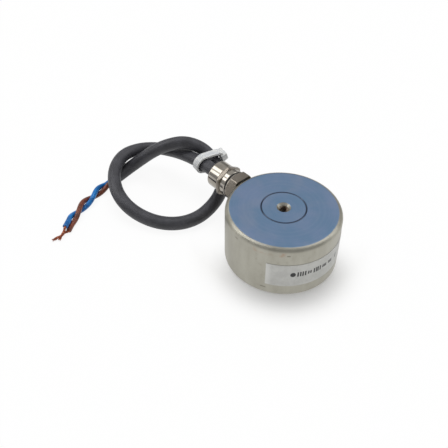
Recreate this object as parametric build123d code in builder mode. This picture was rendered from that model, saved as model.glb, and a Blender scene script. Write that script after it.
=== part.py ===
from build123d import *
from math import cos, pi, radians, sin, sqrt, tan
import os

# Round holding electromagnet: a turned steel pot with a pressed-in core, a wound spool cast in
# resin, a cable gland screwed into the side wall, and a short cable that is looped and tied.
# +Z points out of the back plate, and the origin is the centre of the holding face.
# The gland leaves the wall along -X. All sizes are in millimetres.

# Pot
housing_diameter = 50.0
housing_height = 26.0
wall_thickness = 5.0
back_plate = 6.5
rim_radius = 2.3
foot_chamfer = 0.6
pole_edge = 0.3

# Core, with the blind M5 hole that the magnet hangs from
core_diameter = 19.2
core_fit = 0.01
seam_chamfer = 0.22
thread_bore = 4.2
thread_depth = 10.0
thread_mouth = 6.2
drill_angle = 118.0

# Spool and winding
bobbin_bottom = 2.0
lead_space = 6.5
bobbin_wall = 1.0
bobbin_flange = 1.0
bobbin_play = 0.25
bobbin_rim_gap = 0.6
wire_slot_width = 2.4
wire_slot_depth = 2.6
winding_gap = 0.02
winding_margin = 1.1
tape_thickness = 0.3

# Resin
resin_recess = 0.3

# Cable gland: M10 thread, small hexagons
gland_below_back = 6.7
flat_depth = 0.8
flat_cutter = 16.6
thread_diameter = 10.0
thread_fit = 0.02
thread_reach = 4.9
thread_undercut = 0.5
hole_overrun = 1.6
washer_thickness = 0.5
washer_width = 1.6
across_flats = 13.7
hexagon_bevel = 30.0
body_hexagon = 5.3
body_turn = -21.0
neck_diameter = 10.8
neck_length = 8.0
cable_bore = 6.9
seal_bore = 8.9
seal_mouth_angle = 35.0
seal_mouth_wall = 0.3
o_ring_thickness = 0.9
o_ring_width = 1.1
nut_length = 11.4
nut_wall = 1.2
nut_fit = 0.04
nut_hexagon = 2.4
nut_hexagon_start = 2.7
nut_turn = 9.0
nut_lip = 2.5
nut_mouth = 7.2
nut_mouth_radius = 0.5
nut_end_chamfer = 0.3
clamp_ring_thickness = 0.6
clamp_ring_play = 0.1

# Cable, conductors and tie
cable_diameter = 6.4
cable_fit = 0.03
jacket_stop = 2.2
lead_diameter = 2.5
copper_diameter = 1.1
copper_straight = 1.6
twist_radius = 1.32
twist_turns = 1.25
twist_start = 150.0
steps_per_turn = 16
straight_end = 1.8
arc_share = 0.45
tie_width = 3.5
tie_thickness = 1.1
tie_clearance = 1.0
tie_head = (5.0, 5.6, 4.4)
tie_tail = 2.2

# Splices inside the pot
splice_diameter = 3.2
splice_length = 11.0
splice_inset = 0.4
splice_azimuth = 115.0
splice_rise = 0.05
lead_spread = 2.7
lead_drop = 1.4
bore_exit = 2.6
lead_corner_gap = 1.9

# Label
label_height = 12.0
label_bottom = 5.5
label_thickness = 0.12
label_start = -62.0
label_sweep = 130.0

housing_radius = housing_diameter / 2
chamber_radius = housing_radius - wall_thickness
chamber_height = housing_height - back_plate
core_radius = core_diameter / 2
gland_height = housing_height - gland_below_back
lead_radius = lead_diameter / 2

# Places along the gland, as distances from the magnet's axis
flat_reach = housing_radius - flat_depth
body_seat = flat_reach + washer_thickness
body_tip = flat_reach - thread_reach
ring_seat = body_seat + body_hexagon
neck_end = ring_seat + neck_length
nut_start = ring_seat + o_ring_thickness
nut_end = nut_start + nut_length
lip_start = nut_end - nut_lip
clamp_start = lip_start - clamp_ring_thickness
jacket_start = ring_seat + jacket_stop
seal_start = jacket_start
seal_end = clamp_start - cable_fit

# The cable's line, from its end inside the gland to the cut end of the jacket
cable_route = [
    (-32.2, 0.0, 19.3),
    (-40.3, 0.0, 19.3),
    (-49.2, 0.3, 18.8),
    (-56.6, 0.4, 18.0),
    (-63.6, 0.2, 17.0),
    (-71.0, 0.1, 15.2),
    (-79.4, -0.7, 12.9),
    (-87.4, -3.8, 11.6),
    (-92.9, -10.5, 11.4),
    (-93.6, -19.6, 12.0),
    (-88.8, -28.0, 11.7),
    (-81.3, -34.2, 10.7),
    (-72.9, -37.8, 8.9),
    (-64.2, -38.3, 6.4),
    (-55.4, -35.9, 4.2),
    (-46.9, -31.4, 3.3),
    (-40.5, -24.7, 3.3),
    (-37.8, -16.0, 3.6),
    (-38.5, -6.8, 5.1),
    (-40.9, 1.0, 7.7),
    (-44.8, 5.8, 11.4),
    (-51.0, 6.7, 15.6),
    (-61.2, 8.5, 18.9),
    (-67.2, 0.8, 24.3),
    (-73.9, -5.9, 21.8),
    (-80.6, -10.3, 16.2),
    (-86.8, -14.8, 9.3),
    (-90.3, -21.9, 4.2),
    (-89.1, -30.3, 3.3),
]

# The line that the two conductors twist round, from the jacket's cut end to their cut ends
pair_route = [
    (-89.1, -30.3, 3.3),
    (-88.4, -35.2, 2.775),
    (-87.1, -40.6, 2.6),
    (-85.0, -46.2, 2.6),
    (-82.9, -51.6, 2.6),
    (-80.2, -57.2, 2.6),
    (-77.0, -61.7, 2.6),
    (-73.8, -65.6, 2.6),
]

# The last points of each bare end
brown_tip = [(-73.0, -68.6, 1.3), (-73.2, -71.2, 0.9), (-73.3, -74.0, 0.75)]
blue_tip = [(-72.3, -69.1, 2.7), (-72.0, -70.4, 1.6), (-71.0, -71.6, 0.75)]


def arc_radii(route):
    """Largest arc for each corner that leaves a straight piece in both of its runs."""
    points = [Vector(*point) for point in route]
    runs = [after - before for before, after in zip(points, points[1:])]
    radii = []
    for before, after in zip(runs, runs[1:]):
        half_turn = radians(before.get_angle(after)) / 2
        radii.append(arc_share * min(before.length, after.length) / tan(half_turn))
    return radii


def gland_plane(distance):
    """Plane across the gland at a distance from the magnet's axis, facing outwards."""
    return Plane(origin=(-distance, 0, gland_height), x_dir=(0, 1, 0), z_dir=(-1, 0, 0))


# Sections of the gland are drawn on this plane: first distance from the magnet's axis, then radius
gland_section = Plane(origin=(0, 0, gland_height), x_dir=(-1, 0, 0), z_dir=(0, 1, 0))
gland_axis = Axis((0, 0, gland_height), (-1, 0, 0))

# Pot: a turned cup with its back plate up, bored for the core, its rim rounded, with a flat
# and a tapped hole in its side for the gland
with BuildPart() as housing:
    with BuildSketch(Plane.XZ) as cup:
        with BuildLine():
            Polyline(
                (core_radius + core_fit, chamber_height),
                (core_radius + core_fit, housing_height - seam_chamfer),
                (core_radius + core_fit + seam_chamfer, housing_height),
                (housing_radius, housing_height),
                (housing_radius, foot_chamfer),
                (housing_radius - foot_chamfer, 0),
                (chamber_radius + pole_edge, 0),
                (chamber_radius, pole_edge),
                (chamber_radius, chamber_height),
                close=True,
            )
        make_face()
        fillet(cup.vertices().sort_by_distance((housing_radius, housing_height))[0], rim_radius)
    revolve(axis=Axis.Z)
    with BuildSketch(gland_plane(flat_reach)):
        Circle(flat_cutter / 2)
    extrude(amount=flat_depth, mode=Mode.SUBTRACT)
    with BuildSketch(gland_plane(body_tip - hole_overrun)):
        Circle(thread_diameter / 2 + thread_fit)
    extrude(amount=thread_reach + hole_overrun, mode=Mode.SUBTRACT)

# Core: turned steel pole pressed through the back plate, with the blind tapped hole in its top
with BuildPart() as core:
    with BuildSketch(Plane.XZ):
        with BuildLine():
            Polyline(
                (0, 0),
                (core_radius - pole_edge, 0),
                (core_radius, pole_edge),
                (core_radius, housing_height - seam_chamfer),
                (core_radius - seam_chamfer, housing_height),
                (thread_mouth / 2, housing_height),
                (thread_bore / 2, housing_height - (thread_mouth - thread_bore) / 2),
                (thread_bore / 2, housing_height - thread_depth),
                (0, housing_height - thread_depth - thread_bore / 2 / tan(radians(drill_angle / 2))),
                close=True,
            )
        make_face()
    revolve(axis=Axis.Z)

# Bobbin: moulded spool that slides over the core, its flanges clear of the wall, with two slots
# in the upper flange for the ends of the wire
bobbin_bore = core_radius + bobbin_play
bobbin_barrel = bobbin_bore + bobbin_wall
bobbin_rim = chamber_radius - bobbin_rim_gap
bobbin_top = chamber_height - lead_space
with BuildPart() as bobbin:
    with BuildSketch(Plane.XZ):
        with BuildLine():
            Polyline(
                (bobbin_bore, bobbin_bottom),
                (bobbin_rim, bobbin_bottom),
                (bobbin_rim, bobbin_bottom + bobbin_flange),
                (bobbin_barrel, bobbin_bottom + bobbin_flange),
                (bobbin_barrel, bobbin_top - bobbin_flange),
                (bobbin_rim, bobbin_top - bobbin_flange),
                (bobbin_rim, bobbin_top),
                (bobbin_bore, bobbin_top),
                close=True,
            )
        make_face()
    revolve(axis=Axis.Z)
    with BuildSketch(Plane.XY.offset(bobbin_top)):
        with PolarLocations(bobbin_rim, 2, start_angle=90):
            Rectangle(2 * wire_slot_depth, wire_slot_width)
    extrude(amount=-bobbin_flange, mode=Mode.SUBTRACT)

# Winding: enamelled copper wire that fills the spool, with a layer of tape round it
winding_inner = bobbin_barrel + winding_gap
winding_outer = bobbin_rim - winding_margin
winding_bottom = bobbin_bottom + bobbin_flange + winding_gap
winding_height = bobbin_top - bobbin_flange - winding_gap - winding_bottom
with BuildPart() as coil_winding:
    with BuildSketch(Plane.XY.offset(winding_bottom)):
        Circle(winding_outer)
        Circle(winding_inner, mode=Mode.SUBTRACT)
    extrude(amount=winding_height)

with BuildPart() as winding_tape:
    with BuildSketch(Plane.XY.offset(winding_bottom)):
        Circle(winding_outer + tape_thickness)
        Circle(winding_outer, mode=Mode.SUBTRACT)
    extrude(amount=winding_height)

# Washer between the flat on the pot and the gland body
with BuildPart() as gland_washer:
    with BuildSketch(gland_plane(flat_reach)):
        Circle(thread_diameter / 2 + washer_width)
        Circle(thread_diameter / 2 + thread_fit, mode=Mode.SUBTRACT)
    extrude(amount=washer_thickness)


def hexagon_bar(start, length, turn):
    """Hexagon along the gland's axis, its corners turned off at both ends."""
    corner_radius = across_flats / 2 / cos(pi / 6)
    bevel_length = (corner_radius - across_flats / 2) * tan(radians(hexagon_bevel))
    with BuildPart() as bar:
        with BuildSketch(gland_plane(start)):
            RegularPolygon(across_flats / 2, 6, major_radius=False, rotation=turn)
        extrude(amount=length)
        with BuildSketch(gland_section):
            with BuildLine():
                Polyline(
                    (start, 0),
                    (start, across_flats / 2),
                    (start + bevel_length, corner_radius),
                    (start + length - bevel_length, corner_radius),
                    (start + length, across_flats / 2),
                    (start + length, 0),
                    close=True,
                )
            make_face()
        revolve(axis=gland_axis, mode=Mode.INTERSECT)
    return bar.part


# Gland body: turned from hexagon brass, with the thread for the pot, the neck that carries the
# nut, a bore for the cable and a wider one for the seal
seal_depth = seal_bore / 2 - cable_bore / 2
mouth_radius = neck_diameter / 2 - seal_mouth_wall
mouth_depth = (mouth_radius - seal_bore / 2) / tan(radians(seal_mouth_angle))
body_hexagon_bar = hexagon_bar(body_seat, body_hexagon, body_turn)
with BuildPart() as gland_body:
    add(body_hexagon_bar)
    with BuildSketch(gland_section):
        with BuildLine():
            Polyline(
                (body_tip, 0),
                (body_tip, thread_diameter / 2 - thread_undercut),
                (body_tip + thread_undercut, thread_diameter / 2),
                (body_seat, thread_diameter / 2),
                (body_seat, neck_diameter / 2),
                (neck_end - thread_undercut, neck_diameter / 2),
                (neck_end, neck_diameter / 2 - thread_undercut / 2),
                (neck_end, 0),
                close=True,
            )
        make_face()
    revolve(axis=gland_axis)
    with BuildSketch(gland_section):
        with BuildLine():
            Polyline(
                (body_tip, 0),
                (body_tip, cable_bore / 2),
                (seal_start - seal_depth, cable_bore / 2),
                (seal_start, seal_bore / 2),
                (neck_end - mouth_depth, seal_bore / 2),
                (neck_end, mouth_radius),
                (neck_end, 0),
                close=True,
            )
        make_face()
    revolve(axis=gland_axis, mode=Mode.SUBTRACT)

# Ring between the body's hexagon and the nut
o_ring_radius = neck_diameter / 2 + nut_fit + o_ring_width
with BuildPart() as gland_o_ring:
    with BuildSketch(gland_section) as ring_section:
        with BuildLine():
            Polyline(
                (ring_seat, neck_diameter / 2 + nut_fit),
                (nut_start, neck_diameter / 2 + nut_fit),
                (nut_start, o_ring_radius),
                (ring_seat, o_ring_radius),
                close=True,
            )
        make_face()
        fillet(ring_section.vertices().group_by(Axis.Y)[-1], min(o_ring_thickness, o_ring_width) * arc_share)
    revolve(axis=gland_axis)

# Seal: rubber sleeve squeezed on to the jacket, with a flange that fills the body's mouth
flange_start = neck_end + cable_fit
with BuildPart() as gland_seal:
    with BuildSketch(gland_section):
        with BuildLine():
            Polyline(
                (seal_start, cable_diameter / 2 + cable_fit),
                (seal_start, seal_bore / 2 - cable_fit),
                (neck_end - mouth_depth, seal_bore / 2 - cable_fit),
                (neck_end, mouth_radius - cable_fit),
                (flange_start, neck_diameter / 2 - cable_fit),
                (seal_end, neck_diameter / 2 - cable_fit),
                (seal_end, cable_diameter / 2 + cable_fit),
                close=True,
            )
        make_face()
    revolve(axis=gland_axis)

# Ring that lets the nut turn on the seal
with BuildPart() as clamp_ring:
    with BuildSketch(gland_plane(clamp_start)):
        Circle(neck_diameter / 2 - clamp_ring_play)
        Circle(cable_diameter / 2 + clamp_ring_play, mode=Mode.SUBTRACT)
    extrude(amount=clamp_ring_thickness)

# Cap nut: a round collar with a short hexagon, its mouth rounded over the cable
nut_radius = neck_diameter / 2 + nut_fit + nut_wall
nut_hexagon_bar = hexagon_bar(nut_start + nut_hexagon_start, nut_hexagon, nut_turn)
with BuildPart() as gland_nut:
    with BuildSketch(gland_section) as collar:
        with BuildLine():
            Polyline(
                (nut_start, 0),
                (nut_start, nut_radius - nut_end_chamfer),
                (nut_start + nut_end_chamfer, nut_radius),
                (nut_end, nut_radius),
                (nut_end, 0),
                close=True,
            )
        make_face()
        fillet(collar.vertices().sort_by_distance((nut_end, nut_radius))[0], nut_mouth_radius)
    revolve(axis=gland_axis)
    add(nut_hexagon_bar)
    with BuildSketch(gland_section):
        with BuildLine():
            Polyline(
                (nut_start, 0),
                (nut_start, neck_diameter / 2 + nut_fit),
                (lip_start, neck_diameter / 2 + nut_fit),
                (lip_start, nut_mouth / 2),
                (nut_end - nut_end_chamfer, nut_mouth / 2),
                (nut_end, nut_mouth / 2 + nut_end_chamfer),
                (nut_end, 0),
                close=True,
            )
        make_face()
    revolve(axis=gland_axis, mode=Mode.SUBTRACT)

# Cable: a round jacket that leaves the gland, turns a loop and passes through it
print("cable arcs", [round(radius, 1) for radius in arc_radii(cable_route)])
with BuildPart() as cable_jacket:
    with BuildLine():
        cable_line = FilletPolyline(*cable_route, radius=arc_radii(cable_route))
    with BuildSketch(Plane(origin=cable_line @ 0, z_dir=cable_line % 0)):
        Circle(cable_diameter / 2)
    sweep()
print("cable length", round(cable_line.length, 1))

# Conductors at the free end, twisted together. Each starts and ends with a short straight
# piece, so its ends are square to the pair's line
pair_line = FilletPolyline(*pair_route, radius=arc_radii(pair_route))


def around_pair(share, angle):
    """Point beside the pair's line, at a share of its length and an angle up from its side."""
    along = pair_line % share
    side = along.cross(Vector(0, 0, 1)).normalized()
    up = side.cross(along)
    turn = radians(angle)
    return pair_line @ share + side * (twist_radius * cos(turn)) + up * (twist_radius * sin(turn))


def lead_points(start_angle):
    """Points of one conductor: a straight start, the twist, eased at both ends, a straight end."""
    straight_share = straight_end / pair_line.length
    steps = round(twist_turns * steps_per_turn) + 1
    points = [around_pair(0, start_angle)]
    for step in range(steps + 1):
        share = straight_share + (1 - 2 * straight_share) * step / steps
        steps_turned = min(max(step - 0.5, 0), steps - 1)
        points.append(around_pair(share, start_angle + 360 / steps_per_turn * steps_turned))
    points.append(around_pair(1, start_angle + 360 * twist_turns))
    return points


brown_points = lead_points(twist_start)
blue_points = lead_points(twist_start + 180)
print("conductor arcs", [round(radius, 1) for radius in arc_radii(brown_points)])
with BuildPart() as brown_lead:
    with BuildLine():
        brown_line = FilletPolyline(*brown_points, radius=arc_radii(brown_points))
    with BuildSketch(Plane(origin=brown_line @ 0, z_dir=brown_line % 0)):
        Circle(lead_radius)
    sweep()

with BuildPart() as blue_lead:
    with BuildLine():
        blue_line = FilletPolyline(*blue_points, radius=arc_radii(blue_points))
    with BuildSketch(Plane(origin=blue_line @ 0, z_dir=blue_line % 0)):
        Circle(lead_radius)
    sweep()

# Bare copper at the cut ends, bent apart at the tips
brown_copper = [brown_line @ 1, brown_line @ 1 + (brown_line % 1) * copper_straight, *brown_tip]
blue_copper = [blue_line @ 1, blue_line @ 1 + (blue_line % 1) * copper_straight, *blue_tip]
with BuildPart() as brown_strands:
    with BuildLine():
        brown_copper_line = FilletPolyline(*brown_copper, radius=arc_radii(brown_copper))
    with BuildSketch(Plane(origin=brown_copper_line @ 0, z_dir=brown_copper_line % 0)):
        Circle(copper_diameter / 2)
    sweep()

with BuildPart() as blue_strands:
    with BuildLine():
        blue_copper_line = FilletPolyline(*blue_copper, radius=arc_radii(blue_copper))
    with BuildSketch(Plane(origin=blue_copper_line @ 0, z_dir=blue_copper_line % 0)):
        Circle(copper_diameter / 2)
    sweep()

# Cable tie: one nylon band round both strands of the cable where they lie side by side, with
# its locking head on the far side and the cut end of the band standing out of the head
near_strand = Vector(-53.0, 0.4, 18.65)
far_strand = Vector(-53.4, 7.3, 16.4)
tie_along = Vector(-0.98, 0.1, 0.12)
tie_across = far_strand - near_strand
tie_plane = Plane(origin=(near_strand + far_strand) * 0.5, x_dir=tie_across, z_dir=tie_along)
band_height = cable_diameter + 2 * tie_clearance
band_span = tie_across.length
tie_head_height = (band_height + tie_thickness + tie_head[2]) / 2
with BuildPart() as cable_tie:
    with BuildSketch(tie_plane.offset(-tie_width / 2)):
        SlotCenterToCenter(band_span, band_height + 2 * tie_thickness)
        SlotCenterToCenter(band_span, band_height, mode=Mode.SUBTRACT)
    extrude(amount=tie_width)
    with BuildSketch(tie_plane.offset(-tie_head[1] / 2)):
        with Locations((band_span / 2, -tie_head_height)):
            RectangleRounded(tie_head[0], tie_head[2], tie_thickness / 2)
    extrude(amount=tie_head[1])
    with BuildSketch(tie_plane.offset(-tie_width / 2)):
        with Locations((band_span / 2 + (tie_head[0] + tie_tail) / 2, -tie_head_height)):
            Rectangle(tie_tail, tie_thickness)
    extrude(amount=tie_width)

# Conductors inside the gland and the pot: straight through the body's bore, then round the
# core to a splice on each side
splice_height = chamber_height - lead_space / 2 - splice_rise
splice_radius = (core_radius + chamber_radius) / 2 - splice_inset
splice_along = Vector(sin(radians(splice_azimuth)), -cos(radians(splice_azimuth)), 0)
splice_middle = Vector(
    splice_radius * cos(radians(splice_azimuth)), splice_radius * sin(radians(splice_azimuth)), splice_height
)
splice_start = splice_middle - splice_along * (splice_length / 2)
lead_corner = splice_middle - splice_along * sqrt((chamber_radius - lead_corner_gap) ** 2 - splice_radius**2)
inner_points = [
    Vector(-jacket_start, lead_spread / 2, gland_height - lead_drop),
    Vector(bore_exit - body_tip, lead_spread / 2, gland_height - lead_drop),
    lead_corner,
    splice_start,
]
with BuildPart() as brown_inner_lead:
    with BuildLine():
        inner_line = FilletPolyline(*inner_points, radius=arc_radii(inner_points))
    with BuildSketch(Plane(origin=inner_line @ 0, z_dir=inner_line % 0)):
        Circle(lead_radius)
    sweep()

with BuildPart() as brown_splice_sleeve:
    with BuildSketch(Plane(origin=splice_start, z_dir=splice_along)):
        Circle(splice_diameter / 2)
    extrude(amount=splice_length)

with BuildPart() as blue_inner_lead:
    mirror(brown_inner_lead.part, about=Plane.XZ)

with BuildPart() as blue_splice_sleeve:
    mirror(brown_splice_sleeve.part, about=Plane.XZ)

# Resin: cast round everything in the pot, a little below the pole faces
with BuildPart() as potting_resin:
    with BuildSketch(Plane.XY.offset(resin_recess)):
        Circle(chamber_radius)
        Circle(core_radius, mode=Mode.SUBTRACT)
    extrude(amount=chamber_height - resin_recess)
    bodies_in_resin = [bobbin.part, coil_winding.part, winding_tape.part, gland_body.part]
    bodies_in_resin += [brown_inner_lead.part, blue_inner_lead.part]
    bodies_in_resin += [brown_splice_sleeve.part, blue_splice_sleeve.part]
    add(bodies_in_resin, mode=Mode.SUBTRACT)

# Label: plain tape on the wall
with BuildPart() as label:
    with BuildSketch(Plane.XY.offset(label_bottom)):
        with BuildLine():
            inner_arc = CenterArc((0, 0), housing_radius, label_start, label_sweep)
            outer_arc = CenterArc((0, 0), housing_radius + label_thickness, label_start, label_sweep)
            Line(inner_arc @ 0, outer_arc @ 0)
            Line(inner_arc @ 1, outer_arc @ 1)
        make_face()
    extrude(amount=label_height)

pieces = {
    "housing": housing,
    "core": core,
    "bobbin": bobbin,
    "coil_winding": coil_winding,
    "winding_tape": winding_tape,
    "potting_resin": potting_resin,
    "gland_washer": gland_washer,
    "gland_body": gland_body,
    "gland_o_ring": gland_o_ring,
    "gland_seal": gland_seal,
    "clamp_ring": clamp_ring,
    "gland_nut": gland_nut,
    "cable_jacket": cable_jacket,
    "brown_lead": brown_lead,
    "blue_lead": blue_lead,
    "brown_strands": brown_strands,
    "blue_strands": blue_strands,
    "cable_tie": cable_tie,
    "brown_inner_lead": brown_inner_lead,
    "blue_inner_lead": blue_inner_lead,
    "brown_splice_sleeve": brown_splice_sleeve,
    "blue_splice_sleeve": blue_splice_sleeve,
    "label": label,
}

os.makedirs("parts", exist_ok=True)
for node_name, piece in pieces.items():
    piece.part.label = node_name
    export_step(piece.part, f"parts/{node_name}.step")
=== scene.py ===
from math import cos, pi, radians, sin

import bmesh
import bpy
from mathutils import Matrix, Vector


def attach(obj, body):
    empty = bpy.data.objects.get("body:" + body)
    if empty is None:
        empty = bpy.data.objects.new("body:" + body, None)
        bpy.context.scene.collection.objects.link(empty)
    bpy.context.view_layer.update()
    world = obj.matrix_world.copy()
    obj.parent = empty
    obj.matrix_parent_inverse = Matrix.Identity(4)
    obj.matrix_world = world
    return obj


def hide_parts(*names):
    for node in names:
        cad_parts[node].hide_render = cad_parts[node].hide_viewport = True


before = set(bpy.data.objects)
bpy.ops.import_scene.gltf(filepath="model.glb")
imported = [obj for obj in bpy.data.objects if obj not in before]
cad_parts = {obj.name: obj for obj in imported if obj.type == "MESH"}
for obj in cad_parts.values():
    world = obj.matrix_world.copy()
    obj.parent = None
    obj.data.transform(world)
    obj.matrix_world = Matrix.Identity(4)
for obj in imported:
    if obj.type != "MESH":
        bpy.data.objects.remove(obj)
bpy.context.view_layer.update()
bpy.ops.object.select_all(action="DESELECT")

# The camera stands to the right of the magnet and looks down along its gland and cable.
# The shift is the photograph's own framing, with the magnet a little below the middle.
camera_place = Vector((0.11176, -0.13465, 0.18298))
camera_look = Vector((-0.59877, 0.53913, -0.59229))
camera_data = bpy.data.cameras.new("photo_camera")
camera_data.sensor_width = 36
camera_data.lens = 44.21
camera_data.shift_y = -0.164
camera_data.clip_start = 0.01
camera = bpy.data.objects.new("photo_camera", camera_data)
camera.rotation_euler = camera_look.to_track_quat("-Z", "Y").to_euler()
camera.location = camera_place
bpy.context.scene.collection.objects.link(camera)
bpy.context.scene.camera = camera

# Cable: two insulated conductors in a round grey PVC jacket. It leaves the gland, turns one loop
# on the table, climbs over itself beside the gland and ends in a square cut.
cable_radius = 0.0032
jacket_wall = 0.0008
cable_route = [
    (-0.0322, 0.0, 0.0193),
    (-0.0403, 0.0, 0.0193),
    (-0.0492, 0.0003, 0.0188),
    (-0.0566, 0.0004, 0.018),
    (-0.0636, 0.0002, 0.017),
    (-0.071, 0.0001, 0.0152),
    (-0.0794, -0.0007, 0.0129),
    (-0.0874, -0.0038, 0.0116),
    (-0.0929, -0.0105, 0.0114),
    (-0.0936, -0.0196, 0.012),
    (-0.0888, -0.028, 0.0117),
    (-0.0813, -0.0342, 0.0107),
    (-0.0729, -0.0378, 0.0089),
    (-0.0642, -0.0383, 0.0064),
    (-0.0554, -0.0359, 0.0042),
    (-0.0469, -0.0314, 0.0033),
    (-0.0405, -0.0247, 0.0033),
    (-0.0378, -0.016, 0.0036),
    (-0.0385, -0.0068, 0.0051),
    (-0.0409, 0.001, 0.0077),
    (-0.0448, 0.0058, 0.0114),
    (-0.051, 0.0067, 0.0156),
    (-0.0612, 0.0085, 0.0189),
    (-0.0672, 0.0008, 0.0243),
    (-0.0739, -0.0059, 0.0218),
    (-0.0806, -0.0103, 0.0162),
    (-0.0868, -0.0148, 0.0093),
    (-0.0903, -0.0219, 0.0042),
    (-0.0891, -0.0303, 0.0033),
]


def follow(name, route, steps):
    """Points read along the smooth NURBS line that a route's points steer."""
    data = bpy.data.curves.new(name, "CURVE")
    data.dimensions = "3D"
    data.resolution_u = steps
    spline = data.splines.new("NURBS")
    spline.points.add(len(route) - 1)
    for point, place in zip(spline.points, route):
        point.co = (*place, 1)
    spline.order_u = 3
    spline.use_endpoint_u = True
    guide = bpy.data.objects.new(name, data)
    line = bpy.data.meshes.new_from_object(guide)
    points = [vertex.co.copy() for vertex in line.vertices]
    bpy.data.objects.remove(guide)
    return points


def directions(points):
    """The way that a line of points runs, at each of its points."""
    last = len(points) - 1
    ways = []
    for step in range(len(points)):
        ways.append((points[min(step + 1, last)] - points[max(step - 1, 0)]).normalized())
    return ways


def tube(name, points, radius, sides, end_cut):
    """A skin round a line of points, closed over at both ends. The end's cut is a list of rings
    (distance back from the end, radius), from the rim inwards."""
    ways = directions(points)
    rings = []
    travelled = 0
    for step, (place, way) in enumerate(zip(points, ways)):
        travelled += (place - points[max(step - 1, 0)]).length
        rings.append((place, way, radius, travelled))
    uncut = travelled - end_cut[0][0]
    rings = [ring for ring in rings if ring[3] <= uncut]
    for back, size in end_cut:
        rings.append((points[-1] - ways[-1] * back, ways[-1], size, travelled - back))
    shape = bmesh.new()
    layer = shape.loops.layers.uv.new("along")
    side = ways[0].orthogonal().normalized()
    loops = []
    for place, way, size, _ in rings:
        side = (side - way * side.dot(way)).normalized()
        up = way.cross(side)
        loop = []
        for corner in range(sides):
            turn = 2 * pi * corner / sides
            loop.append(shape.verts.new(place + (side * cos(turn) + up * sin(turn)) * size))
        loops.append(loop)
    for before, after, low, high in zip(loops, loops[1:], rings, rings[1:]):
        for corner in range(sides):
            after_corner = (corner + 1) % sides
            corners = (before[corner], before[after_corner], after[after_corner], after[corner])
            face = shape.faces.new(corners)
            face.smooth = True
            marks = [(corner, low), (corner + 1, low), (corner + 1, high), (corner, high)]
            for point, (number, ring) in zip(face.loops, marks):
                point[layer].uv = (number / sides, ring[3] * 100)
    shape.faces.new(list(reversed(loops[0])))
    shape.faces.new(loops[-1])
    bmesh.ops.recalc_face_normals(shape, faces=shape.faces)
    data = bpy.data.meshes.new(name)
    shape.to_mesh(data)
    shape.free()
    data.set_sharp_from_angle(angle=radians(50))
    piece = bpy.data.objects.new(name, data)
    bpy.context.scene.collection.objects.link(piece)
    return piece


class Reading:
    """One number, colour or vector that a shader works with. It can be used in sums."""

    def __init__(self, tree, socket=None):
        self.tree = tree
        self.socket = socket

    def node(self, kind, settings=None, inputs=None, output=0):
        """Adds a node of any kind, and gives one output of it, or several."""
        made = self.tree.nodes.new(kind)
        for name, value in (settings or {}).items():
            setattr(made, name, value)
        for name, value in (inputs or {}).items():
            if isinstance(value, Reading):
                self.tree.links.new(value.socket, made.inputs[name])
            else:
                made.inputs[name].default_value = value
        if isinstance(output, tuple):
            return [Reading(self.tree, made.outputs[name]) for name in output]
        return Reading(self.tree, made.outputs[output])

    def maths(self, operation, *others):
        values = dict(enumerate((self, *others)))
        return self.node("ShaderNodeMath", {"operation": operation}, values)

    def __add__(self, other):
        return self.maths("ADD", other)

    def __sub__(self, other):
        return self.maths("SUBTRACT", other)

    def __mul__(self, other):
        return self.maths("MULTIPLY", other)

    def __rsub__(self, other):
        return self.node("ShaderNodeMath", {"operation": "SUBTRACT"}, {0: other, 1: self})

    __radd__ = __add__

    def axes(self):
        """The x, the y and the z of this reading, each by itself."""
        return self.node("ShaderNodeSeparateXYZ", {}, {"Vector": self}, ("X", "Y", "Z"))

    def rise(self, low, high, bottom=0.0, top=1.0):
        """Goes from bottom to top, eased, while this reading goes from low to high."""
        wants = {"Value": self, "From Min": low, "From Max": high, "To Min": bottom, "To Max": top}
        return self.node("ShaderNodeMapRange", {"interpolation_type": "SMOOTHSTEP"}, wants)

    def band(self, middle, half_width, edge):
        """One within half_width of the middle, and nothing an edge further out."""
        return 1 - (self - middle).maths("ABSOLUTE").rise(half_width, half_width + edge)

    def between(self, low, high):
        """The colour low where this reading is 0, and high where it is 1."""
        return self.node("ShaderNodeMix", {"data_type": "RGBA"}, {0: self, 6: low, 7: high}, 2)

    def grain(self, scale, detail=3.0, stretch=(1, 1, 1), roughness=0.6):
        """Cloudy noise at this reading's place, drawn out along an axis by a small stretch."""
        spread = self.node("ShaderNodeMapping", {}, {"Vector": self, "Scale": stretch})
        wants = {"Vector": spread, "Scale": scale, "Detail": detail, "Roughness": roughness}
        return self.node("ShaderNodeTexNoise", {}, wants)

    def streaks(self, scale):
        """Noise that changes only with this number, as a lathe's marks do."""
        wants = {"W": self, "Scale": scale, "Detail": 2.0}
        return self.node("ShaderNodeTexNoise", {"noise_dimensions": "1D"}, wants)

    def feeds(self, name):
        shader = self.tree.nodes["Principled BSDF"]
        self.tree.links.new(self.socket, shader.inputs[name])

    def dents(self, distance, strength):
        """Uses this reading as a height, in metres times distance."""
        wants = {"Height": self, "Distance": distance, "Strength": strength}
        self.node("ShaderNodeBump", {}, wants).feeds("Normal")


def tone(red, green, blue):
    """A colour as a picture shows it, from 0 to 255, in the numbers that a shader takes."""
    linear = []
    for level in (red, green, blue):
        share = level / 255
        linear.append(share / 12.92 if share < 0.04045 else ((share + 0.055) / 1.055) ** 2.4)
    return (*linear, 1)


def finish(name, **numbers):
    """A material with its even numbers set on the shader, and a reading of the object's place."""
    material = bpy.data.materials.new(name)
    material.use_nodes = True
    shader = material.node_tree.nodes["Principled BSDF"]
    for socket, value in numbers.items():
        shader.inputs[socket.replace("_", " ")].default_value = value
    place = Reading(material.node_tree).node("ShaderNodeTexCoord", output="Object")
    return material, place


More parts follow.
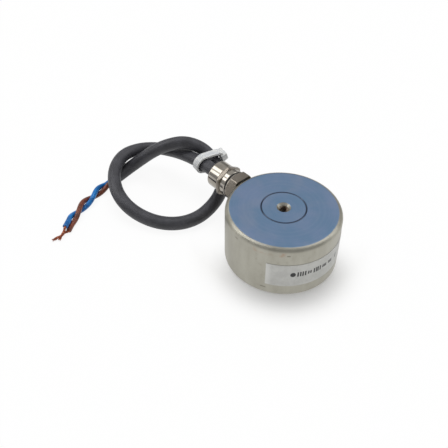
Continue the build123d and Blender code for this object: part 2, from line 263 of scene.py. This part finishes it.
cable_line = follow("cable_line", cable_route, 10)
cut_edge = 0.00012
cut_depth = 0.0007
jacket_cut = [
    (cut_edge, cable_radius),
    (0, cable_radius - cut_edge),
    (0, cable_radius - jacket_wall),
    (cut_depth, cable_radius - jacket_wall),
]
cable = tube("cable", cable_line, cable_radius, 40, jacket_cut)
jacket_pvc, place = finish("jacket_pvc", Specular_IOR_Level=0.45)
mottle = place.grain(160, 4)
scuffs = place.grain(900, 5, (1, 1, 1), 0.7).rise(0.62, 0.78)
along_jacket = place.node("ShaderNodeUVMap", {"uv_map": "along"})
drawn_lines = along_jacket.grain(26, 2, (1, 0.03, 1))
jacket_grey = mottle.rise(0.3, 0.7).between(tone(52, 52, 56), tone(66, 66, 71))
(scuffs * 0.35).between(jacket_grey, tone(104, 104, 108)).feeds("Base Color")
(mottle * 0.16 + 0.36 + scuffs * 0.1).feeds("Roughness")
(drawn_lines * 0.6 + place.grain(1400, 3) * 0.5).dents(0.00006, 0.5)
cable.data.materials.append(jacket_pvc)
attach(cable, "root")
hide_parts("cable_jacket")

# Conductors: brown and blue PVC on stranded copper, loosely twisted where they stand out of the
# jacket, with the insulation cut square about a centimetre short of their ends.
wire_radius = 0.00125
wire_edge = 0.00008
wire_bore = 0.0005
wire_cut_depth = 0.0004
twist_radius = 0.00132
twist_turns = 1.25
twist_start = {"brown": 150, "blue": 330}
straight_share = 0.08
hidden_length = 0.0007
pair_route = [
    (-0.0891, -0.0303, 0.0033),
    (-0.0884, -0.0352, 0.002775),
    (-0.0871, -0.0406, 0.0026),
    (-0.085, -0.0462, 0.0026),
    (-0.0829, -0.0516, 0.0026),
    (-0.0802, -0.0572, 0.0026),
    (-0.077, -0.0617, 0.0026),
    (-0.0738, -0.0656, 0.0026),
]
pair_line = follow("pair_line", pair_route, 16)


def twisted(line, start_angle, turns, radius, ease):
    """Points that go round a line, at a radius, and run straight for a share at each end."""
    points = []
    for step, (place, way) in enumerate(zip(line, directions(line))):
        side = way.cross(Vector((0, 0, 1))).normalized()
        up = side.cross(way)
        share = (step / (len(line) - 1) - ease) / (1 - 2 * ease)
        angle = radians(start_angle + 360 * turns * min(max(share, 0), 1))
        points.append(place + (side * cos(angle) + up * sin(angle)) * radius)
    return points


wire_tones = {
    "brown": (tone(74, 32, 18), tone(128, 66, 44)),
    "blue": (tone(4, 82, 146), tone(14, 120, 196)),
}
wires = {}
for name, (dark, light) in wire_tones.items():
    wire_line = twisted(pair_line, twist_start[name], twist_turns, twist_radius, straight_share)
    wire_line.insert(0, wire_line[0] - directions(wire_line)[0] * hidden_length)
    wire_cut = [
        (wire_edge, wire_radius),
        (0, wire_radius - wire_edge),
        (0, wire_bore),
        (wire_cut_depth, wire_bore),
    ]
    wire = tube(name + "_wire", wire_line, wire_radius, 28, wire_cut)
    wire_pvc, place = finish(name + "_wire_pvc", Specular_IOR_Level=0.5)
    clouds = place.grain(300, 3)
    rubbed = place.grain(1700, 4, (1, 1, 1), 0.7).rise(0.64, 0.78)
    wire_tone = clouds.rise(0.3, 0.7).between(dark, light)
    (rubbed * 0.12).between(wire_tone, tone(170, 160, 155)).feeds("Base Color")
    (clouds * 0.15 + 0.22).feeds("Roughness")
    (place.grain(1600, 2) * 0.6).dents(0.00001, 0.4)
    wire.data.materials.append(wire_pvc)
    wires[name] = (wire, wire_line)

# Bare copper: each conductor's fine strands, twisted in the fingers and bent apart at the tips.
# The strands differ a little in length and open where nothing holds them.
strand_radius = 0.00017
bundle_radius = 0.00043
bundle_stub = 0.0007
bundle_hidden = 0.0004
outer_strands = 8
inner_strands = 3
strand_turns = 1.6
opening_start = 0.7
copper_tips = {
    "brown": [
        (-0.0736, -0.0671, 0.0015),
        (-0.0728, -0.069, 0.0012),
        (-0.0732, -0.0709, 0.0009),
        (-0.0734, -0.07365, 0.00075),
    ],
    "blue": [
        (-0.0735, -0.0671, 0.0026),
        (-0.07255, -0.0686, 0.0022),
        (-0.0723, -0.0699, 0.0014),
        (-0.0714, -0.0712, 0.00075),
    ],
}
bare_copper, place = finish("bare_copper", Metallic=1.0)
tarnish = place.grain(700, 4)
tarnish.rise(0.35, 0.7).between(tone(188, 118, 92), tone(116, 60, 42)).feeds("Base Color")
(tarnish * 0.25 + 0.2).feeds("Roughness")
place.grain(3000, 2).dents(0.00003, 0.4)
for name, (wire, wire_line) in wires.items():
    root = wire_line[-1]
    way = directions(wire_line)[-1]
    bundle_route = [root - way * bundle_hidden, root + way * bundle_stub, *copper_tips[name]]
    bundle_line = follow(name + "_bundle_line", bundle_route, 10)
    strands = []
    for number in range(outer_strands + inner_strands):
        inner = number >= outer_strands
        spread = strand_radius * 1.1 if inner else bundle_radius
        start = 360 * number / (inner_strands if inner else outer_strands)
        line = twisted(bundle_line, start, strand_turns, spread, 0.0)
        opened = []
        for step, (spot, middle) in enumerate(zip(line, bundle_line)):
            share = step / (len(line) - 1)
            loose = max(share - opening_start, 0) / (1 - opening_start)
            opening = 1 + 0.5 * loose * sin(number * 2.4)
            opened.append(middle + (spot - middle) * opening)
        shorter = number * 3 % 4
        opened = opened[: len(opened) - shorter]
        cut = [(0, strand_radius), (0, strand_radius * 0.5)]
        strands.append(tube(name + "_strand", opened, strand_radius, 8, cut))
    for strand in strands:
        strand.select_set(True)
    bpy.context.view_layer.objects.active = strands[0]
    bpy.ops.object.join()
    copper = bpy.context.object
    copper.name = name + "_copper"
    copper.data.name = name + "_copper"
    copper.data.materials.append(bare_copper)
    bpy.ops.object.select_all(action="DESELECT")
    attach(wire, "root")
    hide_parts(name + "_lead")
    name + "_pvc"
    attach(copper, "root")
    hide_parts(name + "_strands")

# Cable tie: one moulded nylon band, pulled round both strands of the cable beside the gland,
# with its ratchet head on the far side and the trimmed end of the band standing out of it.
band_width = 0.0035
band_thickness = 0.0011
near_strand = Vector((-0.053, 0.0004, 0.01865))
far_strand = Vector((-0.0535, 0.007, 0.0172))
tie_along = Vector((-0.98, 0.1, 0.12)).normalized()
tie_across = far_strand - near_strand
tie_across -= tie_along * tie_across.dot(tie_along)
band_span = tie_across.length
band_radius = cable_radius + 0.00068
far_radius = cable_radius + 0.0014
groove_edge = 0.00008
groove_run = 0.00004
groove_depth = 0.0001
head_size = Vector((0.0044, 0.0032, 0.0054))
head_reach = 0.0051
head_turn = radians(56)
slot_wall = 0.0009
slot_edge = 0.00015
slot_depth = 0.0009
pad_edge = 0.0008
pad_rise = 0.0003
tail_length = 0.0012
tail_hidden = 0.001
tail_margin = 0.0011
tooth_edge = 0.00006
tooth_depth = 0.00012
tie_side = tie_across.normalized()
tie_up = tie_along.cross(tie_side)
tie_turn = Matrix((tie_side, tie_up, tie_along)).transposed().to_4x4()
tie_place = Matrix.Translation((near_strand + far_strand) / 2) @ tie_turn


def into_place(piece, placing):
    """Puts a piece where it belongs and leaves its object at the origin."""
    piece.matrix_world = placing
    piece.select_set(True)
    bpy.ops.object.transform_apply(location=True, rotation=True, scale=True)
    bpy.ops.object.select_all(action="DESELECT")


def choose(piece, test, kind="FACE"):
    """Selects the faces, edges or points of a piece in edit mode that pass a test."""
    bpy.ops.mesh.select_mode(type=kind)
    bpy.ops.mesh.select_all(action="DESELECT")
    shape = bmesh.from_edit_mesh(piece.data)
    parts = {"FACE": shape.faces, "EDGE": shape.edges, "VERT": shape.verts}[kind]
    for part in parts:
        part.select_set(test(part))
    bmesh.update_edit_mesh(piece.data)


def ease_edges(piece, width, segments, angle):
    """Rounds the edges of a piece where its faces turn by more than an angle in degrees."""
    rounding = piece.modifiers.new("rounding", "BEVEL")
    rounding.width = width
    rounding.segments = segments
    rounding.limit_method = "ANGLE"
    rounding.angle_limit = radians(angle)
    bpy.context.view_layer.objects.active = piece
    bpy.ops.object.modifier_apply(modifier="rounding")


def smooth_over(piece, angle):
    """Shades a piece smooth wherever its faces turn by less than an angle in degrees."""
    piece.select_set(True)
    bpy.ops.object.shade_smooth_by_angle(angle=radians(angle))
    bpy.ops.object.select_all(action="DESELECT")


bpy.ops.mesh.primitive_circle_add(vertices=72, radius=band_radius + band_thickness / 2)
band = bpy.context.object
band.name = "tie_band"
bpy.ops.object.mode_set(mode="EDIT")
choose(band, lambda point: point.co.x > 1e-6, "VERT")
widening = far_radius / band_radius
bpy.ops.transform.resize(value=(widening, widening, 1), center_override=(0, 0, 0))
bpy.ops.transform.translate(value=(band_span / 2, 0, 0))
choose(band, lambda point: point.co.x < 1e-6, "VERT")
bpy.ops.transform.translate(value=(-band_span / 2, 0, 0))
bpy.ops.mesh.select_all(action="SELECT")
bpy.ops.transform.translate(value=(0, 0, -band_width / 2))
bpy.ops.mesh.extrude_region_move(TRANSFORM_OT_translate={"value": (0, 0, band_width)})
bpy.ops.mesh.select_all(action="SELECT")
bpy.ops.mesh.normals_make_consistent(inside=False)
bpy.ops.object.mode_set(mode="OBJECT")
wall = band.modifiers.new("wall", "SOLIDIFY")
wall.thickness = band_thickness
wall.offset = 0
bpy.ops.object.modifier_apply(modifier="wall")
bpy.ops.object.mode_set(mode="EDIT")
choose(band, lambda face: abs(face.normal.z) < 0.5 and face.index % 2 == 0)
bpy.ops.mesh.inset(thickness=groove_edge, depth=0)
bpy.ops.mesh.inset(thickness=groove_run, depth=-groove_depth)
bpy.ops.object.mode_set(mode="OBJECT")
ease_edges(band, 0.0002, 3, 60)
smooth_over(band, 40)
into_place(band, tie_place)

far_side = tie_place @ Matrix.Translation((band_span / 2, 0, 0))
head_frame = far_side @ Matrix.Rotation(head_turn, 4, "Z")
head_place = Matrix.Translation((0, -head_reach, 0))
bpy.ops.mesh.primitive_cube_add(size=1)
head = bpy.context.object
head.name = "tie_head"
bpy.ops.object.mode_set(mode="EDIT")
bpy.ops.transform.resize(value=head_size)
choose(head, lambda face: face.normal.x > 0.5)
bpy.ops.mesh.inset(thickness=slot_wall, depth=0)
bpy.ops.mesh.inset(thickness=slot_edge, depth=-slot_depth)
choose(head, lambda face: face.normal.y < -0.5)
bpy.ops.mesh.inset(thickness=pad_edge, depth=pad_rise)
bpy.ops.object.mode_set(mode="OBJECT")
ease_edges(head, 0.0005, 4, 50)
smooth_over(head, 40)
into_place(head, head_frame @ head_place)

tail_place = Matrix.Translation(((head_size.x + tail_length) / 2, -head_reach, 0))
bpy.ops.mesh.primitive_cube_add(size=1)
tail = bpy.context.object
tail.name = "tie_tail"
bpy.ops.object.mode_set(mode="EDIT")
bpy.ops.transform.resize(value=(tail_length + tail_hidden, band_thickness, band_width))
bpy.ops.transform.translate(value=(-tail_hidden / 2, 0, 0))
bpy.ops.mesh.subdivide(number_cuts=5)


def toothed(face):
    """Whether a face lies on the flat of the tail, away from its long edges."""
    return abs(face.normal.y) > 0.5 and abs(face.calc_center_median().z) < tail_margin


choose(tail, toothed)
bpy.ops.mesh.inset(thickness=tooth_edge, depth=-tooth_depth, use_individual=True)
bpy.ops.object.mode_set(mode="OBJECT")
smooth_over(tail, 30)
into_place(tail, head_frame @ tail_place)

for part in (band, head, tail):
    part.select_set(True)
bpy.context.view_layer.objects.active = band
bpy.ops.object.join()
tie = bpy.context.object
tie.name = "nylon_tie"
tie.data.name = "nylon_tie"
bpy.ops.object.select_all(action="DESELECT")
natural_nylon, place = finish("natural_nylon", Specular_IOR_Level=0.4)
clouded = place.grain(500, 4)
clouded.rise(0.3, 0.7).between(tone(200, 203, 207), tone(226, 226, 223)).feeds("Base Color")
(clouded * 0.2 + 0.3).feeds("Roughness")
(place.grain(1800, 3) * 0.7).dents(0.00004, 0.4)
tie.data.materials.append(natural_nylon)
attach(tie, "root")
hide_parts("cable_tie")

# Pot and core: turned steel, zinc plated, bright blue passivated on the lathe-faced top and
# duller on the wall, with smudges, small dark marks and a first trace of rust under the rim.
housing_height = 0.026
core_radius = 0.0096
rust_height = 0.0232
rust_turn = -59
stain_height = 0.0088
stain_turn = -70
dark_marks = ((-96, 0.0226, 1.2), (-64, 0.0033, 2.2), (-42, 0.0228, 1.0))


def coat(node, material):
    """Gives one of the CAD solids its finish."""
    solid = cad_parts[node].data
    solid.materials.clear()
    solid.materials.append(material)


for name in ("housing", "core"):
    plated_steel, place = finish(name + "_plated_steel", Metallic=1.0)
    x, y, z = place.axes()
    outwards = place.node("ShaderNodeCombineXYZ", {}, {"X": x, "Y": y})
    radius = outwards.node("ShaderNodeVectorMath", {"operation": "LENGTH"}, {0: outwards}, "Value")
    around = y.maths("ARCTAN2", x) * (180 / pi)
    faced = z.rise(housing_height - 0.0001, housing_height - 0.00002)
    rings = radius.streaks(5200)
    broad_rings = radius.streaks(900)
    clouds = place.grain(55, 5)
    fine = place.grain(420, 4)
    patches = place.grain(75, 3)
    top_tone = clouds.rise(0.3, 0.7).between(tone(116, 146, 178), tone(134, 153, 186))
    top_tone = (patches.rise(0.45, 0.72) * 0.5).between(top_tone, tone(146, 158, 182))
    top_tone = (broad_rings.rise(0.4, 0.7) * 0.12).between(top_tone, tone(150, 168, 190))
    smears = place.grain(90, 5, (1, 1, 0.35))
    side_tone = smears.rise(0.3, 0.7).between(tone(156, 153, 141), tone(178, 176, 165))
    side_tone = (fine.rise(0.55, 0.8) * 0.3).between(side_tone, tone(128, 121, 104))
    blotches = place.grain(260, 5, (1, 1, 0.8), 0.7)
    rust_place = z.band(rust_height, 0.0006, 0.0009) * around.band(rust_turn, 12, 8)
    rust = blotches.rise(0.5, 0.68) * rust_place
    side_tone = (rust * 0.5).between(side_tone, tone(164, 128, 104))
    stain_place = z.band(stain_height, 0.002, 0.003) * around.band(stain_turn, 6, 9)
    stain = blotches.rise(0.48, 0.66) * stain_place
    side_tone = (stain * 0.3).between(side_tone, tone(120, 117, 100))
    for mark_turn, mark_place, mark_size in dark_marks:
        dark_mark = around.band(mark_turn, mark_size, 1.2) * z.band(mark_place, 0.0002, 0.0003)
        side_tone = (dark_mark * 0.5).between(side_tone, tone(84, 80, 68))
    near_top = z.rise(housing_height - 0.0009, housing_height - 0.0006)
    seam = radius.band(core_radius, 0.00026, 0.00026) * near_top
    metal_tone = faced.between(side_tone, top_tone)
    (seam * 0.8).between(metal_tone, tone(62, 76, 100)).feeds("Base Color")
    top_rough = 0.3 + rings * 0.12
    side_rough = 0.3 + smears * 0.22
    (faced * top_rough + (1 - faced) * side_rough).feeds("Roughness")
    (faced * rings * 0.35 + (1 - faced) * fine * 0.5).dents(0.00003, 0.35)
    coat(name, plated_steel)

# Thread: the blind M5 hole in the core, from which the magnet hangs. The tap's turns are dark
# with old oil and stop short of the drilled bottom.
thread_pitch = 0.0008
hole_radius = 0.00212
thread_end = 0.0092
ridge_radius = 0.00034
bpy.ops.mesh.primitive_circle_add(vertices=6, radius=ridge_radius, fill_type="NOTHING")
thread = bpy.context.object
thread.name = "m5_thread"
bpy.ops.object.mode_set(mode="EDIT")
bpy.ops.mesh.select_all(action="SELECT")
bpy.ops.transform.rotate(value=pi / 2, orient_axis="X", center_override=(0, 0, 0))
bpy.ops.transform.resize(value=(1.0, 1, 0.9))
bpy.ops.transform.translate(value=(hole_radius, 0, housing_height - thread_end))
bpy.ops.object.mode_set(mode="OBJECT")
helix = thread.modifiers.new("helix", "SCREW")
helix.screw_offset = thread_pitch
helix.iterations = 10
helix.steps = 40
helix.render_steps = 40
helix.use_merge_vertices = False
bpy.ops.object.modifier_apply(modifier="helix")
bpy.ops.object.mode_set(mode="EDIT")
bpy.ops.mesh.select_all(action="DESELECT")
bpy.ops.mesh.select_mode(type="EDGE")
bpy.ops.mesh.select_non_manifold()
bpy.ops.mesh.fill()
bpy.ops.mesh.select_all(action="SELECT")
bpy.ops.mesh.normals_make_consistent(inside=False)
bpy.ops.object.mode_set(mode="OBJECT")
smooth_over(thread, 35)
oily_thread, place = finish("oily_thread", Metallic=1.0)
oil = place.grain(600, 4)
oil.rise(0.35, 0.7).between(tone(88, 74, 62), tone(150, 140, 128)).feeds("Base Color")
(oil * 0.3 + 0.2).feeds("Roughness")
thread.data.materials.append(oily_thread)
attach(thread, "root")

# Gland: brass body and cap nut, nickel plated over turned and milled faces. The body screws into
# a flat on the pot, and the nut, turned by hand or by its thin hexagon, squeezes the seal.
gland_height = 0.0193
across_flats = 0.0137
neck_radius = 0.0054
neck_bore = 0.00445
thread_radius = 0.005
cable_bore = 0.00345
nut_bore = 0.00544
nut_radius = 0.00664
lip_bore = 0.0036
ring_radius = 0.00678
hexagon_corner = across_flats / 2 / cos(pi / 6)
corner_round = 0.0004
cut_margin = 0.0001
nut_hexagon_start = 0.0336
nut_hexagon_width = 0.0024
nut_hexagon_chamfers = (0.0007, 0.0007, 0.0001)
body_hexagon_start = 0.0247
body_hexagon_width = 0.0053
body_hexagon_chamfers = (0.0002, 0.0008, 0.0006)
gland_sides = 96
gland_axis = Matrix(((0, 0, -1, 0), (1, 0, 0, 0), (0, -1, 0, gland_height), (0, 0, 0, 1)))


def turned(name, profile):
    """A turned ring, drawn out along its axis through (place, radius) steps back to the first."""
    bpy.ops.mesh.primitive_circle_add(vertices=gland_sides, radius=profile[0][1])
    piece = bpy.context.object
    piece.name = name
    piece.data.name = name
    bpy.ops.object.mode_set(mode="EDIT")
    bpy.ops.transform.translate(value=(0, 0, profile[0][0]))
    for (start, radius), (end, next_radius) in zip(profile, profile[1:] + profile[:1]):
        bpy.ops.mesh.extrude_region_move(TRANSFORM_OT_translate={"value": (0, 0, end - start)})
        bpy.ops.transform.resize(value=(next_radius / radius, next_radius / radius, 1))
    bpy.ops.mesh.select_all(action="SELECT")
    bpy.ops.mesh.remove_doubles(threshold=0.000001)
    bpy.ops.mesh.normals_make_consistent(inside=False)
    bpy.ops.object.mode_set(mode="OBJECT")
    bpy.ops.object.select_all(action="DESELECT")
    return piece


def combine(piece, tool, operation):
    """Adds a tool to a piece, or keeps what the two share, and throws the tool away."""
    cut = piece.modifiers.new("cut", "BOOLEAN")
    cut.operation = operation
    cut.solver = "EXACT"
    cut.object = tool
    bpy.context.view_layer.objects.active = piece
    bpy.ops.object.modifier_apply(modifier="cut")
    bpy.data.objects.remove(tool)


def hexagon(name, start, thickness, inner_radius, turn, chamfers):
    """A milled hexagon with its corners turned down. The chamfers are how far that goes at the
    back and at the front, and how much of the front is left round."""
    bpy.ops.mesh.primitive_cylinder_add(
        vertices=6,
        radius=hexagon_corner,
        depth=thickness,
        location=(0, 0, start + thickness / 2),
    )
    bar = bpy.context.object
    bar.name = name
    bpy.ops.object.mode_set(mode="EDIT")
    bpy.ops.mesh.select_all(action="SELECT")
    bpy.ops.transform.rotate(value=turn, orient_axis="Z", center_override=(0, 0, 0))
    choose(bar, lambda edge: abs(edge.verts[0].co.z - edge.verts[1].co.z) > 0.0001, "EDGE")
    bpy.ops.mesh.bevel(offset=corner_round, segments=4, affect="EDGES")
    bpy.ops.object.mode_set(mode="OBJECT")
    bpy.ops.object.select_all(action="DESELECT")
    back, front, collar = chamfers
    outer = hexagon_corner + cut_margin
    inside_flats = across_flats / 2 - cut_margin
    end = start + thickness
    shaper = [
        (start, inner_radius),
        (start, inside_flats),
        (start + back, outer),
        (end - front - collar, outer),
        (end - collar, inside_flats),
        (end, inside_flats - 0.00008),
        (end, inner_radius),
    ]
    combine(bar, turned("shaper", shaper), "INTERSECT")
    return bar


def finished_gland(piece):
    """Eases the milled edges, smooths the turned faces and lays a piece along the gland."""
    ease_edges(piece, 0.00009, 2, 28)
    smooth_over(piece, 24)
    into_place(piece, gland_axis)


# Each step is a place along the gland, from the pot's axis, and a radius there. The steps at the
# same radius keep the shading even beside the hexagon.
nut_profile = [
    (0.0309, nut_bore),
    (0.0309, nut_radius - 0.0003),
    (0.0312, nut_radius),
    (0.0314, nut_radius),
    (0.0334, nut_radius),
    (0.0362, nut_radius),
    (0.0416, nut_radius),
    (0.0418, nut_radius),
    (0.04205, nut_radius - 0.0001),
    (0.0422, nut_radius - 0.00027),
    (0.0423, nut_radius - 0.0005),
    (0.0423, lip_bore + 0.0003),
    (0.042, lip_bore),
    (0.0398, lip_bore),
    (0.0398, nut_bore),
]
nut = turned("nut", nut_profile)
nut_hexagon = hexagon(
    "nut_hexagon",
    nut_hexagon_start,
    nut_hexagon_width,
    0.0061,
    0,
    nut_hexagon_chamfers,
)
combine(nut, nut_hexagon, "UNION")
finished_gland(nut)

ring_profile = [
    (0.03, 0.00545),
    (0.03, 0.00635),
    (0.03012, 0.00662),
    (0.03045, ring_radius),
    (0.03078, 0.00662),
    (0.0309, 0.00635),
    (0.0309, 0.00545),
]
ring = turned("o_ring", ring_profile)
smooth_over(ring, 50)
into_place(ring, gland_axis)
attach(ring, "root")
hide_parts("gland_o_ring")

body_profile = [
    (0.0193, cable_bore),
    (0.0193, thread_radius - 0.0003),
    (0.0196, thread_radius),
    (0.0247, thread_radius),
    (0.0247, neck_radius),
    (0.0377, neck_radius),
    (0.038, neck_radius - 0.0002),
    (0.038, 0.0051),
    (0.03707, neck_bore),
    (0.0322, neck_bore),
    (0.0312, cable_bore),
]
body = turned("body", body_profile)
body_hexagon = hexagon(
    "body_hexagon",
    body_hexagon_start,
    body_hexagon_width,
    0.0049,
    pi / 6,
    body_hexagon_chamfers,
)
combine(body, body_hexagon, "UNION")
finished_gland(body)

nickel, place = finish("gland_nickel", Metallic=1.0)
x, y, z = place.axes()
cuts = x.streaks(5000)
spots = place.grain(500, 4)
warmth = place.grain(150, 3)
from_axis = (y * y + (z - gland_height) * (z - gland_height)).maths("SQRT")
milled_face = from_axis.rise(nut_radius + 0.00003, nut_radius + 0.0001)
nickel_tone = warmth.rise(0.3, 0.7).between(tone(150, 144, 134), tone(170, 165, 157))
nickel_tone = (milled_face * 0.75).between(nickel_tone, tone(122, 114, 104))
(spots.rise(0.58, 0.8) * 0.35).between(nickel_tone, tone(104, 92, 78)).feeds("Base Color")
(spots * 0.08 + 0.05 + milled_face * 0.2).feeds("Roughness")
(cuts * 0.25 + spots * 0.1).dents(0.00001, 0.15)
for piece, node in ((nut, "gland_nut"), (body, "gland_body")):
    piece.data.materials.clear()
    piece.data.materials.append(nickel)
    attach(piece, "root")
    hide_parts(node)

# Rubber: the ring and the washer of the gland, and the seal that grips the cable inside the nut.
# It is matt, with a little dust on it.
black_rubber, place = finish("black_rubber", Specular_IOR_Level=0.35)
dust = place.grain(800, 4)
dust.rise(0.4, 0.75).between(tone(24, 23, 23), tone(52, 50, 48)).feeds("Base Color")
(dust * 0.2 + 0.45).feeds("Roughness")
dust.dents(0.00003, 0.5)
ring.data.materials.append(black_rubber)
for name in ("gland_washer", "gland_seal"):
    coat(name, black_rubber)

# Label: a strip of white film stuck round the wall. Its print is left as one dark dot and plain
# bars, and its left end catches the light.
label_radius = 0.02512
mark_height = 0.0121
dot_place = -0.016
tall_marks = (-0.0139, -0.0128, -0.0118, -0.0107, -0.0067, -0.0056, -0.0048, -0.0037, 0.0064)
short_marks = (-0.0093, -0.0083, -0.0022, -0.0014, -0.0006, 0.0013, 0.0021, 0.0029)
tall_reach = 0.00125
short_reach = 0.0008
mark_half_width = 0.00027
mark_edge = 0.0001
label_film, place = finish("label_film", Specular_IOR_Level=0.3)
fibres = place.grain(300, 4)
x, y, z = place.axes()
around = y.maths("ARCTAN2", x) * label_radius
aside = around - dot_place
above = z - mark_height
printed = 1 - (aside * aside + above * above * 0.9).maths("SQRT").rise(0.00105, 0.00125)
for marks, reach in ((tall_marks, tall_reach), (short_marks, short_reach)):
    upright = z.band(mark_height, reach, mark_edge)
    for mark in marks:
        bar = around.band(mark, mark_half_width, mark_edge) * upright
        printed = printed.maths("MAXIMUM", bar)
film_tone = fibres.rise(0.3, 0.7).between(tone(190, 190, 186), tone(204, 204, 200))
edge_glare = 1 - around.rise(-0.0268, -0.0243)
film_tone = (edge_glare * 0.6).between(film_tone, tone(224, 224, 220))
(printed * 0.95).between(film_tone, tone(24, 24, 26)).feeds("Base Color")
(fibres * 0.1 + 0.45).feeds("Roughness")
(place.grain(1200, 3) * 0.5).dents(0.00003, 0.4)
coat("label", label_film)

# Inside the pot, seen only if it is cut open: spool, winding, tape, splices, the conductors that
# reach them, the clamp ring in the nut, and the resin, which shows between the poles below.
sleeves = ["brown_splice_sleeve", "blue_splice_sleeve"]
inner_finishes = [
    ("potting_resin", ["potting_resin"], 0.0, tone(20, 20, 22), tone(38, 38, 40), 0.3, 260),
    ("spool_plastic", ["bobbin"], 0.0, tone(196, 190, 176), tone(214, 209, 196), 0.45, 300),
    ("enamelled_wire", ["coil_winding"], 1.0, tone(168, 84, 40), tone(206, 116, 62), 0.25, 900),
    ("winding_film", ["winding_tape"], 0.0, tone(196, 160, 40), tone(214, 182, 70), 0.3, 400),
    ("sleeve_black", sleeves, 0.0, tone(22, 22, 24), tone(40, 40, 42), 0.4, 500),
    ("inner_brown", ["brown_inner_lead"], 0.0, tone(74, 32, 18), tone(122, 62, 42), 0.35, 420),
    ("inner_blue", ["blue_inner_lead"], 0.0, tone(10, 74, 150), tone(28, 128, 214), 0.35, 420),
    ("clamp_steel", ["clamp_ring"], 1.0, tone(140, 140, 138), tone(176, 176, 172), 0.3, 500),
]
for name, nodes, metallic, dark, light, roughness, scale in inner_finishes:
    inner, place = finish(name, Metallic=metallic)
    clouds = place.grain(scale, 4)
    clouds.rise(0.3, 0.7).between(dark, light).feeds("Base Color")
    (clouds * 0.2 + roughness).feeds("Roughness")
    clouds.dents(0.00004, 0.4)
    for node in nodes:
        coat(node, inner)

# Table: a white floor that keeps the object's shadow. The lens sees it plain white away from the
# pot and behind it, and the shadow is left to show at the pot's foot.
lens_east = 0.743
lens_south = 0.669


def kinds_of_ray(reading):
    """Whether the lens, a mirroring face or a clear one asks for the colour."""
    kinds = ("Is Camera Ray", "Is Glossy Ray", "Is Transmission Ray")
    return reading.node("ShaderNodeLightPath", output=kinds)


bpy.ops.mesh.primitive_plane_add(size=12)
floor = bpy.context.object
floor.name = "floor"
bpy.ops.object.select_all(action="DESELECT")
floor_white = (0.95, 0.95, 0.945, 1)
white_floor, place = finish(
    "white_floor",
    Base_Color=floor_white,
    Roughness=0.9,
    Specular_IOR_Level=0.0,
)
camera_ray, glossy_ray, passing_ray = kinds_of_ray(place)
x, y, _ = place.axes()
from_pot = (x * x + y * y).maths("SQRT")
before_pot = x * lens_east - y * lens_south
open_share = from_pot.rise(0.029, 0.043, 0.12, 0.92)
behind_share = before_pot.rise(-0.008, 0.018, 0.9, 0.12)
camera_share = camera_ray * open_share.maths("MAXIMUM", behind_share)
mirror_share = glossy_ray.maths("MAXIMUM", passing_ray) * 0.8
tree = white_floor.node_tree
glow = place.node("ShaderNodeEmission", {}, {"Color": (1, 1, 1, 1), "Strength": 1.0})
mixed = place.node("ShaderNodeMixShader", {}, {0: camera_share.maths("MAXIMUM", mirror_share)})
tree.links.new(tree.nodes["Principled BSDF"].outputs[0], mixed.socket.node.inputs[1])
tree.links.new(glow.socket, mixed.socket.node.inputs[2])
tree.links.new(mixed.socket, tree.nodes["Material Output"].inputs["Surface"])
floor.data.materials.append(white_floor)

# Studio: a broad soft lamp almost overhead, in a pale room that gets darker low down behind the
# object. Its two bright boxes, to the left and the right, show only in what mirrors them.
dark_gap = 101
lamp_data = bpy.data.lights.new("overhead", "SUN")
lamp_data.energy = 1.7
lamp_data.angle = radians(40)
lamp = bpy.data.objects.new("overhead", lamp_data)
lamp.rotation_euler = Vector((0.25, -0.2, -1)).to_track_quat("-Z", "Y").to_euler()
lamp.visible_glossy = False
bpy.context.scene.collection.objects.link(lamp)
world = bpy.data.worlds.new("studio")
world.use_nodes = True
bpy.context.scene.world = world
room = Reading(world.node_tree)
camera_ray, glossy_ray, passing_ray = kinds_of_ray(room)
x, y, z = room.node("ShaderNodeTexCoord", output="Generated").axes()
towards = x * lens_east - y * lens_south
sideways = x * lens_south + y * lens_east
height = z.maths("ARCTAN2", towards) * (180 / pi)
front_wall = height.rise(62, 90, 0.44, 0.52)
ceiling = height.rise(112, 130, 0, 0.2)
low_back = height.rise(147, 160, 0, 0.36)
left_box = (1 - sideways.rise(-0.36, -0.2)) * (1 - height.band(dark_gap, 2, 2) * 0.85) * 3.0
right_box = sideways.rise(0.2, 0.36) * 1.5
box_light = height.band(dark_gap, 13, 5) * (left_box + right_box)
mirrored = front_wall + ceiling - low_back + box_light
open_view = camera_ray.maths("MAXIMUM", passing_ray)
strength = open_view + (1 - open_view) * (glossy_ray * mirrored + (1 - glossy_ray) * 0.5)
background = world.node_tree.nodes["Background"]
background.inputs["Color"].default_value = (1, 1, 1, 1)
world.node_tree.links.new(strength.socket, background.inputs["Strength"])
bpy.context.scene.view_settings.view_transform = "Standard"
